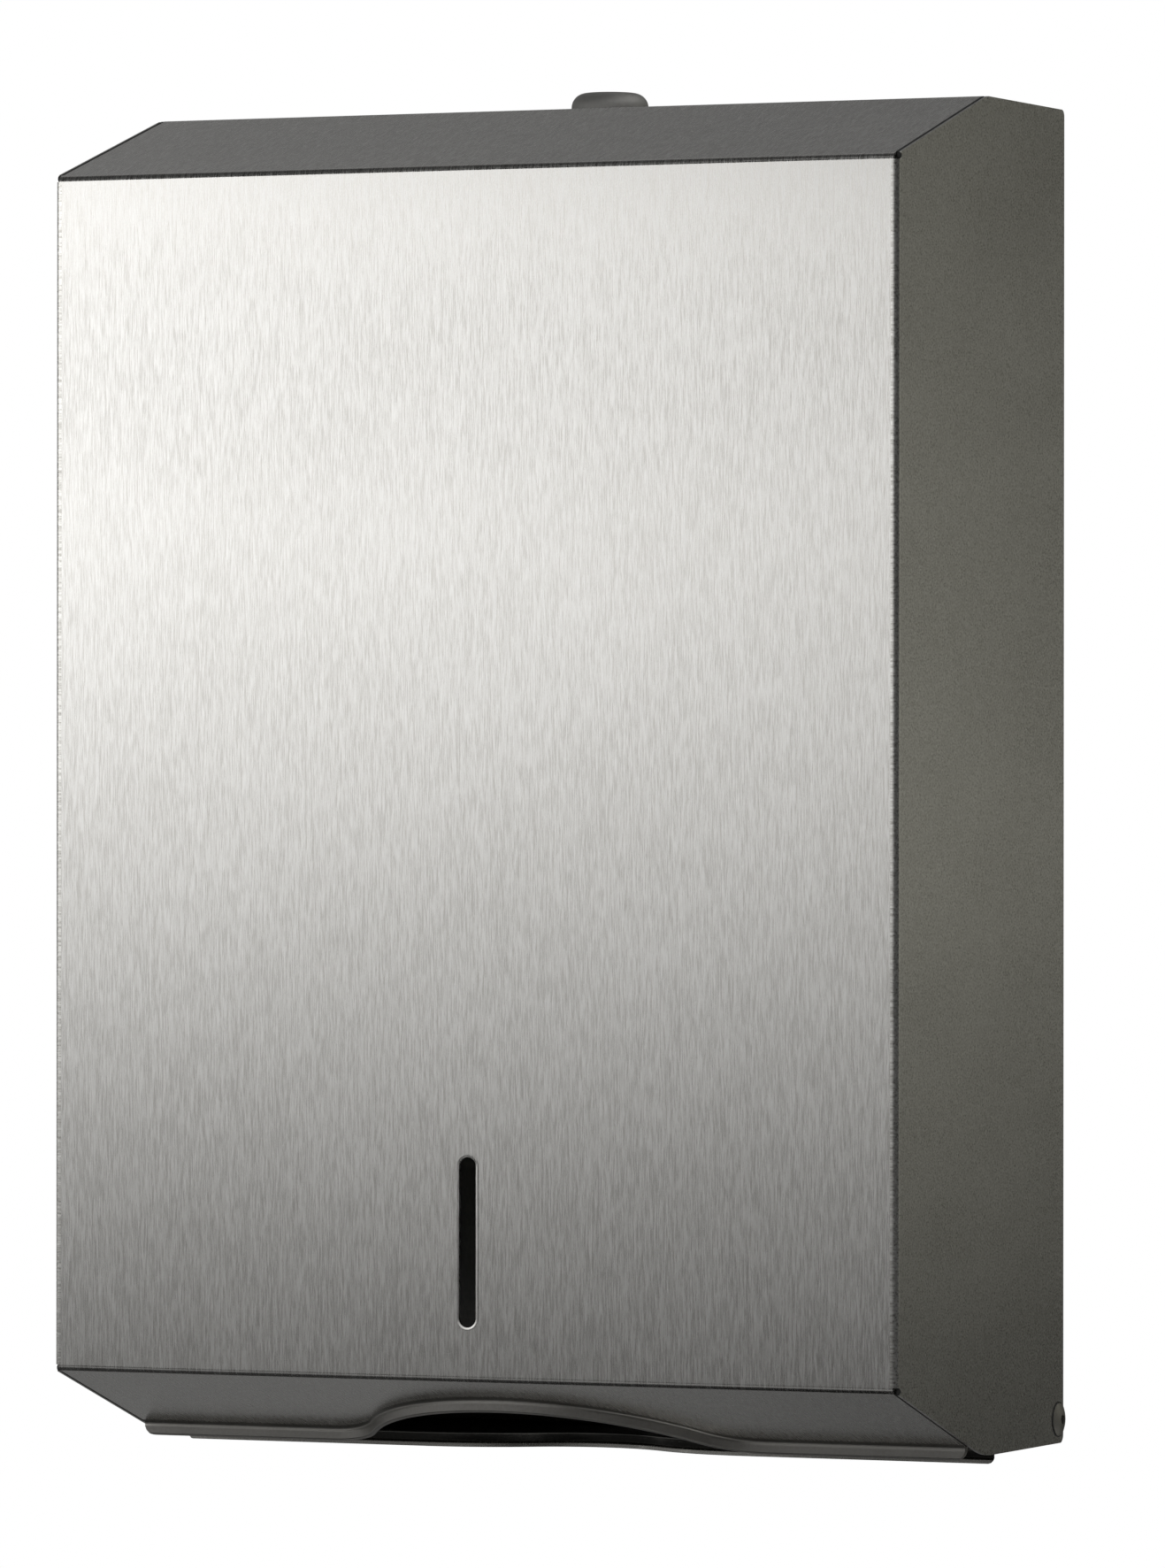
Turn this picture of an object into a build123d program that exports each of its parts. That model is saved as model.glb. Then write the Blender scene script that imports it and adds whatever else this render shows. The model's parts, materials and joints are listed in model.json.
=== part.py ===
from build123d import *
import os
from math import acos, cos, radians, sin

# Wall-hung paper towel dispenser of folded stainless sheet, in millimetres.
# The wall is the plane y = 0, the front faces -y, z is up, and the origin is the centre of the
# four wall holes. The cover hinges on two rivets at its lower rear corners.

# Cover: outside sizes of the folded sheet
cover_width = 265.0
cover_depth = 130.0
cover_height = 390.1
sheet = 1.0
bend_radius = 1.8
seam_gap = 0.4
wall_gap = 4.2
top_bevel_depth = 68.5
top_bevel_rise = 20.7
bottom_bevel_depth = 66.6
bottom_bevel_drop = 21.9
return_height = 12.0
rear_top_radius = 2.0
rear_bottom_radius = 2.5
toe_radius = 40.0
corner_notch = 1.4
corner_relief_radius = 0.8

# Lip along the bottom bevel, with its wave-shaped finger recess in plan
lip_end_inset = 10.1
lip_height = 3.7
lip_corner_radius = 3.4
lip_crest_setback = 18.9
lip_crest_radius = 62.0
lip_shoulder_radius = 21.0

# Sight slot in the front panel
slot_width = 5.3
slot_length = 48.7
slot_rise = 15.3
slot_edge_radius = 0.35

# Back plate and its wall holes
flange_depth = 26.0
flange_corner_radius = 6.0
flange_top_clearance = 5.0
plate_top_drop = 2.0
wall_hole_radius = 3.25
wall_hole_spacing_x = 200.0
wall_hole_spacing_z = 280.0

# Towel tray: gap to the lip, scallop in its front edge, turned-up walls
mouth_gap = 24.0
tray_scallop_depth = 16.0
tray_crest_radius = 36.0
tray_shoulder_radius = 52.0
ear_height = 14.0
ear_corner_radius = 7.0
tray_rear_height = 16.0

# Hinge: blind rivets, spacers and backing washers
pivot_from_rear = 4.2
pivot_rise = 7.0
hinge_gap = 1.2
running_clearance = 0.05
rivet_shank_radius = 2.4
rivet_head_radius = 4.8
rivet_head_height = 1.5
rivet_rim = 0.3
rivet_bulb_radius = 3.5
rivet_bulb_length = 3.6
mandrel_radius = 1.35
mandrel_recess = 1.6
mandrel_head_radius = 2.2
mandrel_head_length = 2.0
head_clearance = 0.1
spacer_radius = 6.0
spacer_play = 0.1
backing_radius = 4.9
backing_thickness = 1.0

# Lock: housing, plug and what is threaded on them
lock_depth_share = 0.525
rosette_radius = 11.4
rosette_height = 6.7
rosette_shoulder = 4.3
barrel_radius = 9.0
barrel_flat = 8.0
barrel_length = 18.0
plug_radius = 6.0
plug_recess = 0.4
tail_side = 7.0
tail_clearance = 0.2
keyway_width = 2.0
keyway_length = 8.6
keyway_depth = 19.0
wafer_count = 5
wafer_pitch = 2.6
wafer_thickness = 1.0
wafer_width = 5.0
wafer_end_clearance = 0.9
wafer_first_drop = 5.0
fit_clearance = 0.1
nut_across_flats = 22.0
nut_thickness = 4.5
nut_chamfer = 0.8
tooth_washer_radius = 12.0
tooth_washer_thickness = 1.0
tooth_count = 12
tooth_gap_width = 1.6
tooth_gap_depth = 1.8

# Stop washer, cam and cam screw below the barrel
lock_turn = 90.0
stop_arc = 90.0
stop_play = 2.0
stop_inner_radius = 6.4
stop_height = 1.2
cam_thickness = 2.5
cam_hub_radius = 8.0
cam_width = 14.0
cam_tip_clearance = 10.4
cam_corner_radius = 3.0
cam_screw_radius = 2.0
cam_screw_length = 7.0
cam_screw_head_radius = 4.6
cam_screw_head_height = 2.6
cam_screw_dome = 1.2
cross_width = 1.0
cross_length = 4.6
cross_depth = 1.4
spring_washer_radius = 5.2
spring_washer_thickness = 1.0
spring_washer_split = 0.6

# Keeper that the cam turns behind, held on two flush studs
keeper_thickness = 1.5
keeper_bend_radius = 2.2
keeper_gap = 1.0
keeper_inner_x = 11.0
keeper_width = 13.0
keeper_arm_drop = 6.0
keeper_tab_cover = 1.6
keeper_base_height = 30.0
keeper_corner_radius = 3.0
stud_radius = 2.0
stud_head_radius = 2.9
stud_length = 7.0
stud_spacing = 13.0
stud_first_drop = 9.0
stud_nut_across_flats = 7.0
stud_nut_thickness = 3.0

# Rubber bumpers that the cover closes on
bumper_radius = 4.0
bumper_play = 0.3
bumper_edge = 1.0
bumper_side_inset = 32.0
bumper_drop = 7.0

overrun = 5.0

# Places that follow from the sizes above
rear_y = -wall_gap
front_y = rear_y - cover_depth
top_z = cover_height / 2
bottom_z = -cover_height / 2
front_top_z = top_z - top_bevel_rise
front_bottom_z = bottom_z + bottom_bevel_drop
half_width = cover_width / 2
inner_half = half_width - sheet
strip_half = inner_half - seam_gap
bend_x = half_width - bend_radius - seam_gap
bend_y = front_y + bend_radius + seam_gap
lip_y = front_y + bottom_bevel_depth - lip_end_inset
crest_y = front_y + lip_crest_setback
plate_half = inner_half - hinge_gap
plate_top_z = top_z - plate_top_drop
flange_top_z = top_z - return_height - flange_top_clearance
tray_half = plate_half - sheet
tray_front_y = lip_y + sheet + mouth_gap
pivot_y = rear_y - pivot_from_rear
pivot_z = bottom_z + pivot_rise
pivot_bore = rivet_shank_radius + running_clearance
lock_y = front_y + top_bevel_depth + (cover_depth - top_bevel_depth) * lock_depth_share
barrel_end_z = top_z - barrel_length
cam_top_z = barrel_end_z - stop_height - fit_clearance
cam_bottom_z = cam_top_z - cam_thickness
tail_end_z = cam_bottom_z + tail_clearance
cam_reach = -sheet - cam_tip_clearance - lock_y
keeper_tab_y = lock_y - cam_width / 2 - keeper_gap
keeper_arm_z = cam_bottom_z - keeper_arm_drop
keeper_top_z = cam_top_z + keeper_tab_cover
keeper_x = keeper_inner_x + keeper_width / 2
bumper_z = top_z - bumper_drop
bumper_x = half_width - bumper_side_inset


def block(x_low, x_high, y_low, y_high, z_low, z_high):
    middle = Pos((x_low + x_high) / 2, (y_low + y_high) / 2, (z_low + z_high) / 2)
    return middle * Box(x_high - x_low, y_high - y_low, z_high - z_low)


def rod_x(radius, x_low, x_high, y, z):
    return Pos((x_low + x_high) / 2, y, z) * Rot(0, 90, 0) * Cylinder(radius, x_high - x_low)


def rod_y(radius, y_low, y_high, x, z):
    return Pos(x, (y_low + y_high) / 2, z) * Rot(90, 0, 0) * Cylinder(radius, y_high - y_low)


def rod_z(radius, z_low, z_high, x, y):
    return Pos(x, y, (z_low + z_high) / 2) * Cylinder(radius, z_high - z_low)


def ring_x(outer, inner, x_low, x_high, y, z):
    return rod_x(outer, x_low, x_high, y, z) - rod_x(inner, x_low, x_high, y, z)


def ring_z(outer, inner, z_low, z_high, x, y):
    return rod_z(outer, z_low, z_high, x, y) - rod_z(inner, z_low, z_high, x, y)


def left_of(shape):
    """The left-hand twin of a right-hand piece."""
    return mirror(shape, about=Plane.YZ)


def beside(points, distance):
    """The open line through the points, moved to its left with mitred corners."""
    moved = []
    for index, point in enumerate(points):
        before = points[max(index - 1, 0)], points[max(index, 1)]
        last = len(points) - 1
        after = points[min(index, last - 1)], points[min(index + 1, last)]
        normals = []
        for start, end in (before, after):
            along = (Vector(*end) - Vector(*start)).normalized()
            normals.append(Vector(-along.Y, along.X))
        mitre = (normals[0] + normals[1]) / (1 + normals[0].dot(normals[1]))
        moved.append(Vector(*point) + mitre * distance)
    return [(place.X, place.Y) for place in moved]


def turns_left(before, corner, after):
    first = Vector(*corner) - Vector(*before)
    second = Vector(*after) - Vector(*corner)
    return first.cross(second).Z > 0


def folded_sheet(points, thickness, radius):
    """Section of a bent sheet with one face on the points and its thickness on their left."""
    right_radii = []
    left_radii = []
    for before, corner, after in zip(points, points[1:], points[2:]):
        left_turn = turns_left(before, corner, after)
        right_radii.append(radius if left_turn else radius - thickness)
        left_radii.append(radius - thickness if left_turn else radius)
    left_points = beside(points, thickness)
    right = FilletPolyline(*points, radius=right_radii)
    left = FilletPolyline(*left_points, radius=left_radii)
    ends = [Line(points[0], left_points[0]), Line(points[-1], left_points[-1])]
    return make_face([*right.edges(), *left.edges(), *ends])


def rounded_outline(corners):
    """Face through (x, y, radius) corners."""
    points = [(x, y) for x, y, radius in corners]
    line = FilletPolyline(*points, radius=[radius for x, y, radius in corners], close=True)
    return make_face(line.edges())


def scooped_line(half_length, end_y, crest_y, crest_radius, shoulder_radius):
    """Level line along x with a smooth scoop in its middle, made of tangent arcs."""
    side = 1 if end_y > crest_y else -1
    both = crest_radius + shoulder_radius
    lean = acos(1 - abs(end_y - crest_y) / both)
    reach = both * sin(lean)
    join = crest_radius * sin(lean), crest_y + side * crest_radius * (1 - cos(lean))
    middle_x = reach - shoulder_radius * sin(lean / 2)
    middle_y = end_y - side * shoulder_radius * (1 - cos(lean / 2))
    return [
        Line((-half_length, end_y), (-reach, end_y)),
        ThreePointArc((-reach, end_y), (-middle_x, middle_y), (-join[0], join[1])),
        ThreePointArc((-join[0], join[1]), (0, crest_y), join),
        ThreePointArc(join, (middle_x, middle_y), (reach, end_y)),
        Line((reach, end_y), (half_length, end_y)),
    ]


def closed_between(first, second):
    """Face between two lines that run the same way."""
    starts = Line(first[0] @ 0, second[0] @ 0)
    ends = Line(first[-1] @ 1, second[-1] @ 1)
    return make_face([*first, *second, starts, ends])


def upright(face, z_low, z_high):
    return Pos(0, 0, z_low) * extrude(face, amount=z_high - z_low)


def forward(face, y_high, y_low):
    start = Plane((0, y_high, 0), x_dir=(1, 0, 0), z_dir=(0, -1, 0))
    return extrude(start * face, amount=y_high - y_low)


def across(face, half_length):
    return extrude(Plane.YZ * face, amount=half_length, both=True)


def bevel_z(y):
    """Height of the bottom bevel's outside."""
    return front_bottom_z - (y - front_y) * bottom_bevel_drop / bottom_bevel_depth


def top_bevel_z(y):
    return front_top_z + (y - front_y) * top_bevel_rise / top_bevel_depth


def lip_line(setback):
    """Plan line of the lip's front face, moved back by setback."""
    return scooped_line(
        strip_half,
        lip_y + setback,
        crest_y + setback,
        lip_crest_radius - setback,
        lip_shoulder_radius + setback,
    )


def make_lip():
    """Lip welded under the bottom bevel's edge, which follows the wave."""
    wall = upright(closed_between(lip_line(0), lip_line(sheet)), bottom_z - overrun, front_bottom_z)
    rear_y_of_bevel = front_y + bottom_bevel_depth
    band = make_face(
        Polyline(
            (front_y, bevel_z(front_y)),
            (rear_y_of_bevel, bevel_z(rear_y_of_bevel)),
            (rear_y_of_bevel, bevel_z(rear_y_of_bevel) - lip_height),
            (front_y, bevel_z(front_y) - lip_height),
            close=True,
        )
    )
    low_z = bevel_z(lip_y + sheet) - lip_height
    rounded_ends = rounded_outline(
        [
            (-strip_half, front_bottom_z, 0),
            (-strip_half, low_z, lip_corner_radius),
            (strip_half, low_z, lip_corner_radius),
            (strip_half, front_bottom_z, 0),
        ]
    )
    return wall & across(band, strip_half) & forward(rounded_ends, rear_y, front_y)


def make_side():
    """Right-hand side panel with its bend round to the front panel's end, open at the bend's ends."""
    outline = rounded_outline(
        [
            (bend_y, bevel_z(bend_y), 0),
            (bend_y, top_bevel_z(bend_y), 0),
            (front_y + top_bevel_depth, top_z, bend_radius),
            (rear_y, top_z, rear_top_radius),
            (rear_y, bottom_z, rear_bottom_radius),
            (front_y + bottom_bevel_depth, bottom_z, toe_radius),
        ]
    )
    panel = Pos(half_width - sheet / 2, 0, 0) * across(outline, sheet / 2)
    notch_y = front_y + top_bevel_depth
    panel -= rod_x(corner_relief_radius, strip_half, half_width + overrun, notch_y, top_z)
    panel -= rod_x(pivot_bore, inner_half - overrun, half_width + overrun, pivot_y, pivot_z)
    bend = folded_sheet([(bend_x, front_y), (half_width, front_y), (half_width, bend_y)], sheet, bend_radius)
    return panel + upright(bend, front_bottom_z + corner_notch, front_top_z - corner_notch)


def make_wrap():
    """Strip folded into return, top, top bevel, front and bottom bevel, cut back for the lip and sides."""
    section = folded_sheet(
        [
            (rear_y, top_z - return_height),
            (rear_y, top_z),
            (front_y + top_bevel_depth, top_z),
            (front_y, front_top_z),
            (front_y, front_bottom_z),
            (front_y + bottom_bevel_depth, bottom_z),
        ],
        sheet,
        bend_radius,
    )
    strip = across(section, strip_half)
    behind_lip = closed_between(
        lip_line(sheet),
        [Line((-strip_half, rear_y), (strip_half, rear_y))],
    )
    strip -= upright(behind_lip, bottom_z - overrun, front_bottom_z)
    for low_x, high_x in ((-strip_half, -bend_x), (bend_x, strip_half)):
        low_z = front_bottom_z + corner_notch
        strip -= block(low_x, high_x, front_y, bend_y, low_z, front_top_z - corner_notch)
    slot_z = front_bottom_z + slot_rise + slot_length / 2
    slot = Pos(0, slot_z) * SlotOverall(slot_length, slot_width, rotation=90)
    strip -= forward(slot, front_y + sheet + overrun, front_y - overrun)
    front_panel = strip.faces().sort_by(Axis.Y)[0]
    strip = strip.fillet(slot_edge_radius, front_panel.inner_wires()[0].edges())
    hole = rod_z(barrel_radius + fit_clearance, top_z - sheet - overrun, top_z + overrun, 0, lock_y)
    flats = barrel_flat + fit_clearance
    hole &= block(-flats, flats, front_y, rear_y, top_z - sheet - overrun, top_z + overrun)
    return strip - hole


def stud_places():
    first_z = keeper_arm_z - stud_first_drop
    return [(keeper_x, first_z), (keeper_x, first_z - stud_spacing)]


def make_back_plate():
    section = folded_sheet(
        [
            (plate_half, -flange_depth),
            (plate_half, 0),
            (-plate_half, 0),
            (-plate_half, -flange_depth),
        ],
        sheet,
        bend_radius,
    )
    outline = rounded_outline(
        [
            (-flange_depth, bottom_z, flange_corner_radius),
            (-flange_depth, flange_top_z, flange_corner_radius),
            (overrun, flange_top_z, 0),
            (overrun, bottom_z, 0),
        ]
    )
    panel_half = plate_half - bend_radius
    panel = block(-panel_half, panel_half, -sheet, 0, flange_top_z - overrun, plate_top_z)
    plate = upright(section, bottom_z - overrun, top_z) & across(outline, half_width)
    plate += panel
    for x in (-wall_hole_spacing_x / 2, wall_hole_spacing_x / 2):
        for z in (-wall_hole_spacing_z / 2, wall_hole_spacing_z / 2):
            plate -= rod_y(wall_hole_radius, -sheet - overrun, overrun, x, z)
    for x, z in stud_places():
        plate -= rod_y(stud_head_radius + running_clearance, -sheet - overrun, overrun, x, z)
    plate -= rod_x(pivot_bore, -half_width, half_width, pivot_y, pivot_z)
    return plate


def make_tray():
    ends_rear_y = -sheet - bend_radius
    wrap = folded_sheet(
        [
            (-tray_half, bottom_z + ear_height),
            (-tray_half, bottom_z),
            (tray_half, bottom_z),
            (tray_half, bottom_z + ear_height),
        ],
        sheet,
        bend_radius,
    )
    ear_outline = rounded_outline(
        [
            (tray_front_y, bottom_z, 0),
            (tray_front_y, bottom_z + ear_height, ear_corner_radius),
            (ends_rear_y, bottom_z + ear_height, 0),
            (ends_rear_y, bottom_z, 0),
        ]
    )
    ends = forward(wrap, ends_rear_y, tray_front_y) & across(ear_outline, tray_half)
    section = folded_sheet(
        [
            (tray_front_y, bottom_z),
            (-sheet, bottom_z),
            (-sheet, bottom_z + tray_rear_height),
        ],
        sheet,
        bend_radius,
    )
    tray = ends + across(section, tray_half - bend_radius - seam_gap)
    front_edge = scooped_line(
        half_width,
        tray_front_y,
        tray_front_y + tray_scallop_depth,
        tray_crest_radius,
        tray_shoulder_radius,
    )
    ahead = closed_between(front_edge, [Line((-half_width, front_y), (half_width, front_y))])
    tray -= upright(ahead, bottom_z - overrun, bottom_z + ear_height + overrun)
    tray -= rod_x(pivot_bore, -half_width, half_width, pivot_y, pivot_z)
    return tray


def hinge_stack():
    """Faces along x of what the right-hand hinge rivet passes through, from outside in."""
    head_x = half_width + head_clearance
    backing_x = tray_half - sheet
    bulb_x = backing_x - backing_thickness
    return head_x, backing_x, bulb_x


def make_rivet():
    head_x, backing_x, bulb_x = hinge_stack()
    dome = make_face(
        [
            ThreePointArc(
                (0, rivet_head_height),
                (rivet_head_radius / 2, (rivet_head_height * 3 + rivet_rim) / 4),
                (rivet_head_radius, rivet_rim),
            ),
            *Polyline(
                (rivet_head_radius, rivet_rim), (rivet_head_radius, 0), (0, 0), (0, rivet_head_height)
            ).edges(),
        ]
    )
    head = Pos(head_x, pivot_y, pivot_z) * Rot(0, 90, 0) * revolve(Plane.XZ * dome, Axis.Z)
    rivet = head + rod_x(rivet_shank_radius, bulb_x, head_x, pivot_y, pivot_z)
    rivet += rod_x(rivet_bulb_radius, bulb_x - rivet_bulb_length, bulb_x, pivot_y, pivot_z)
    bore = mandrel_radius + running_clearance
    return rivet - rod_x(bore, bulb_x - rivet_bulb_length, half_width + overrun, pivot_y, pivot_z)


def make_mandrel():
    head_x, backing_x, bulb_x = hinge_stack()
    inner_x = bulb_x - rivet_bulb_length
    stem = rod_x(mandrel_radius, inner_x, head_x + rivet_rim - mandrel_recess, pivot_y, pivot_z)
    head = rod_x(mandrel_head_radius, inner_x - mandrel_head_length, inner_x, pivot_y, pivot_z)
    return stem + fillet(head.edges().sort_by(Axis.X)[0], mandrel_head_length / 2)


def make_spacer():
    return ring_x(spacer_radius, pivot_bore, plate_half, inner_half - spacer_play, pivot_y, pivot_z)


def make_backing_washer():
    head_x, backing_x, bulb_x = hinge_stack()
    return ring_x(backing_radius, pivot_bore, bulb_x, backing_x, pivot_y, pivot_z)


def ring_sector(inner, outer, z_low, z_high, arc):
    """Part of a ring on the lock's axis that starts at +x and turns by arc."""
    half = Plane.XZ * (Pos((inner + outer) / 2, (z_low + z_high) / 2) * Rectangle(outer - inner, z_high - z_low))
    return Pos(0, lock_y, 0) * revolve(half, Axis.Z, revolution_arc=arc)


def turned(shape, angle):
    """The shape turned about the lock's axis."""
    return Pos(0, lock_y, 0) * Rot(0, 0, angle) * Pos(0, -lock_y, 0) * shape


def make_lock_housing():
    rosette = rod_z(rosette_radius, top_z, top_z + rosette_height, 0, lock_y)
    rosette = fillet(rosette.edges().group_by(Axis.Z)[-1], rosette_shoulder)
    barrel = rod_z(barrel_radius, barrel_end_z, top_z, 0, lock_y)
    barrel &= block(-barrel_flat, barrel_flat, front_y, rear_y, barrel_end_z, top_z)
    housing = rosette + barrel
    bore = plug_radius + running_clearance
    housing -= rod_z(bore, barrel_end_z - overrun, top_z + rosette_height + overrun, 0, lock_y)
    stop = ring_sector(stop_inner_radius, barrel_flat, barrel_end_z - stop_height, barrel_end_z, stop_arc)
    return housing + turned(stop, 180)


def wafer_levels():
    first = top_z + rosette_height - plug_recess - wafer_first_drop
    return [first - index * wafer_pitch for index in range(wafer_count)]


def wafer_block(z, length, clearance):
    return Pos(0, lock_y, z) * Box(length, wafer_width + clearance * 2, wafer_thickness + clearance * 2)


def make_plug():
    plug_top_z = top_z + rosette_height - plug_recess
    plug = rod_z(plug_radius, barrel_end_z, plug_top_z, 0, lock_y)
    half_tail = tail_side / 2
    plug += block(-half_tail, half_tail, lock_y - half_tail, lock_y + half_tail, tail_end_z, barrel_end_z)
    key_box = Box(
        keyway_width, keyway_length, keyway_depth, align=(Align.CENTER, Align.CENTER, Align.MAX)
    )
    plug -= Pos(0, lock_y, plug_top_z) * key_box
    for z in wafer_levels():
        plug -= wafer_block(z, plug_radius * 2 + overrun, fit_clearance)
    tap_radius = cam_screw_radius + running_clearance
    return plug - rod_z(tap_radius, tail_end_z, tail_end_z + cam_screw_length, 0, lock_y)


def make_wafers():
    window = Pos(0, lock_y, 0) * Box(keyway_width, wafer_width - wafer_thickness * 2, cover_height)
    length = (plug_radius - wafer_end_clearance) * 2
    return Compound(children=[wafer_block(z, length, 0) - window for z in wafer_levels()])


def make_lock_nut():
    high_z = top_z - sheet - tooth_washer_thickness
    hexagon = extrude(RegularPolygon(nut_across_flats / 2, 6, major_radius=False), amount=nut_thickness)
    nut = Pos(0, lock_y, high_z - nut_thickness) * hexagon
    rim_radius = nut_across_flats / 2 / cos(radians(30))
    rim = rod_z(rim_radius, high_z - nut_thickness, high_z, 0, lock_y)
    nut &= chamfer(rim.edges().group_by(Axis.Z)[0], nut_chamfer)
    return nut - rod_z(barrel_radius + running_clearance, high_z - nut_thickness, high_z, 0, lock_y)


def make_tooth_washer():
    high_z = top_z - sheet
    low_z = high_z - tooth_washer_thickness
    washer = ring_z(tooth_washer_radius, barrel_radius + running_clearance, low_z, high_z, 0, lock_y)
    gap = block(
        tooth_washer_radius - tooth_gap_depth,
        tooth_washer_radius + overrun,
        lock_y - tooth_gap_width / 2,
        lock_y + tooth_gap_width / 2,
        low_z,
        high_z,
    )
    for index in range(tooth_count):
        washer -= turned(gap, 360 * index / tooth_count)
    return washer


def square_hole(z_low, z_high):
    half_side = tail_side / 2 + fit_clearance
    return block(-half_side, half_side, lock_y - half_side, lock_y + half_side, z_low, z_high)


def make_stop_washer():
    high_z = barrel_end_z - fit_clearance
    hub_radius = stop_inner_radius - fit_clearance
    washer = rod_z(hub_radius, cam_top_z, high_z, 0, lock_y)
    lug_arc = 360 - stop_arc - lock_turn - stop_play * 2
    lug = ring_sector(hub_radius - fit_clearance, barrel_flat, cam_top_z, high_z, lug_arc)
    washer += turned(lug, 180 - stop_play - lug_arc)
    return washer - square_hole(cam_top_z, high_z)


def make_cam():
    hub = Pos(0, lock_y) * Circle(cam_hub_radius)
    arm = rounded_outline(
        [
            (-cam_width / 2, lock_y, 0),
            (cam_width / 2, lock_y, 0),
            (cam_width / 2, lock_y + cam_reach, cam_corner_radius),
            (-cam_width / 2, lock_y + cam_reach, cam_corner_radius),
        ]
    )
    cam = upright(hub + arm, cam_bottom_z, cam_top_z)
    return cam - square_hole(cam_bottom_z, cam_top_z)


def make_spring_washer():
    low_z = cam_bottom_z - spring_washer_thickness
    bore = cam_screw_radius + fit_clearance
    washer = ring_z(spring_washer_radius, bore, low_z, cam_bottom_z, 0, lock_y)
    half_split = spring_washer_split / 2
    return washer - block(0, spring_washer_radius, lock_y - half_split, lock_y + half_split, low_z, cam_bottom_z)


def make_cam_screw():
    seat_z = cam_bottom_z - spring_washer_thickness
    low_z = seat_z - cam_screw_head_height
    head = rod_z(cam_screw_head_radius, low_z, seat_z, 0, lock_y)
    head = fillet(head.edges().group_by(Axis.Z)[0], cam_screw_dome)
    for angle in (0, 90):
        slot = Pos(0, lock_y, low_z + cross_depth / 2) * Box(cross_length, cross_width, cross_depth)
        head -= turned(slot, angle)
    return head + rod_z(cam_screw_radius, seat_z, seat_z + cam_screw_length, 0, lock_y)


def make_keeper():
    section = folded_sheet(
        [
            (-sheet, keeper_arm_z - keeper_base_height),
            (-sheet, keeper_arm_z),
            (keeper_tab_y, keeper_arm_z),
            (keeper_tab_y, keeper_top_z),
        ],
        keeper_thickness,
        keeper_bend_radius,
    )
    keeper = Pos(keeper_x, 0, 0) * across(section, keeper_width / 2)
    for x, z in stud_places():
        keeper -= rod_y(stud_radius + fit_clearance, -sheet - keeper_thickness, -sheet, x, z)
    levels = keeper.edges().filter_by(Axis.Y).group_by(Axis.Z)
    return fillet(levels[0] + levels[-1], keeper_corner_radius)


def make_stud(x, z):
    head = rod_y(stud_head_radius, -sheet, 0, x, z)
    return head + rod_y(stud_radius, -sheet - stud_length, -sheet, x, z)


def make_stud_nut(x, z):
    seat_y = -sheet - keeper_thickness
    hexagon = Pos(x, z) * RegularPolygon(stud_nut_across_flats / 2, 6, major_radius=False)
    nut = forward(hexagon, seat_y, seat_y - stud_nut_thickness)
    return nut - rod_y(stud_radius + running_clearance, seat_y - stud_nut_thickness, seat_y, x, z)


def make_bumper():
    face_y = rear_y + bumper_play
    bumper = rod_y(bumper_radius, face_y, -sheet, bumper_x, bumper_z)
    return fillet(bumper.edges().group_by(Axis.Y)[0], bumper_edge)


pieces = {
    "cover_wrap": make_wrap(),
    "cover_lip": make_lip(),
    "back_plate": make_back_plate(),
    "towel_tray": make_tray(),
    "lock_housing": make_lock_housing(),
    "lock_plug": make_plug(),
    "lock_wafers": make_wafers(),
    "lock_nut": make_lock_nut(),
    "lock_tooth_washer": make_tooth_washer(),
    "cam_stop_washer": make_stop_washer(),
    "lock_cam": make_cam(),
    "cam_spring_washer": make_spring_washer(),
    "cam_screw": make_cam_screw(),
    "lock_keeper": make_keeper(),
    "keeper_studs": Compound(children=[make_stud(x, z) for x, z in stud_places()]),
    "keeper_nuts": Compound(children=[make_stud_nut(x, z) for x, z in stud_places()]),
}
pairs = {
    "cover_side": make_side(),
    "hinge_rivet": make_rivet(),
    "rivet_mandrel": make_mandrel(),
    "hinge_spacer": make_spacer(),
    "hinge_backing_washer": make_backing_washer(),
    "cover_bumper": make_bumper(),
}
for name, shape in pairs.items():
    pieces[name + "_right"] = shape
    pieces[name + "_left"] = left_of(shape)

os.makedirs("parts", exist_ok=True)
for name, shape in pieces.items():
    export_step(shape, f"parts/{name}.step")
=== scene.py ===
import json
import math

import bpy
from mathutils import Matrix, Vector


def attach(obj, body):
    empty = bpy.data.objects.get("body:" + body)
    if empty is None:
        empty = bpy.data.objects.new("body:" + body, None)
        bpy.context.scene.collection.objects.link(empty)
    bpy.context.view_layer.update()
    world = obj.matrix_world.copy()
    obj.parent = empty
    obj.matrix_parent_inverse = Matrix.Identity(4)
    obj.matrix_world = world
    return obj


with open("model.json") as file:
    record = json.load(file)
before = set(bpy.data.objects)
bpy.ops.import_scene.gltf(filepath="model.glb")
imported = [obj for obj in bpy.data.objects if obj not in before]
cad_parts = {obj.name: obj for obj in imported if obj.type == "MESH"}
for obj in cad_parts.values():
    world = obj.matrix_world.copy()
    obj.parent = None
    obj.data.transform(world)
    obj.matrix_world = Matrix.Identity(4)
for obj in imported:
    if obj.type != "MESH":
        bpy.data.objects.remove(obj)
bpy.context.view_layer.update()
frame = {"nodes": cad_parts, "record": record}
bpy.ops.object.select_all(action="DESELECT")

MM = 0.001
SIDES = (1, -1)

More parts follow.
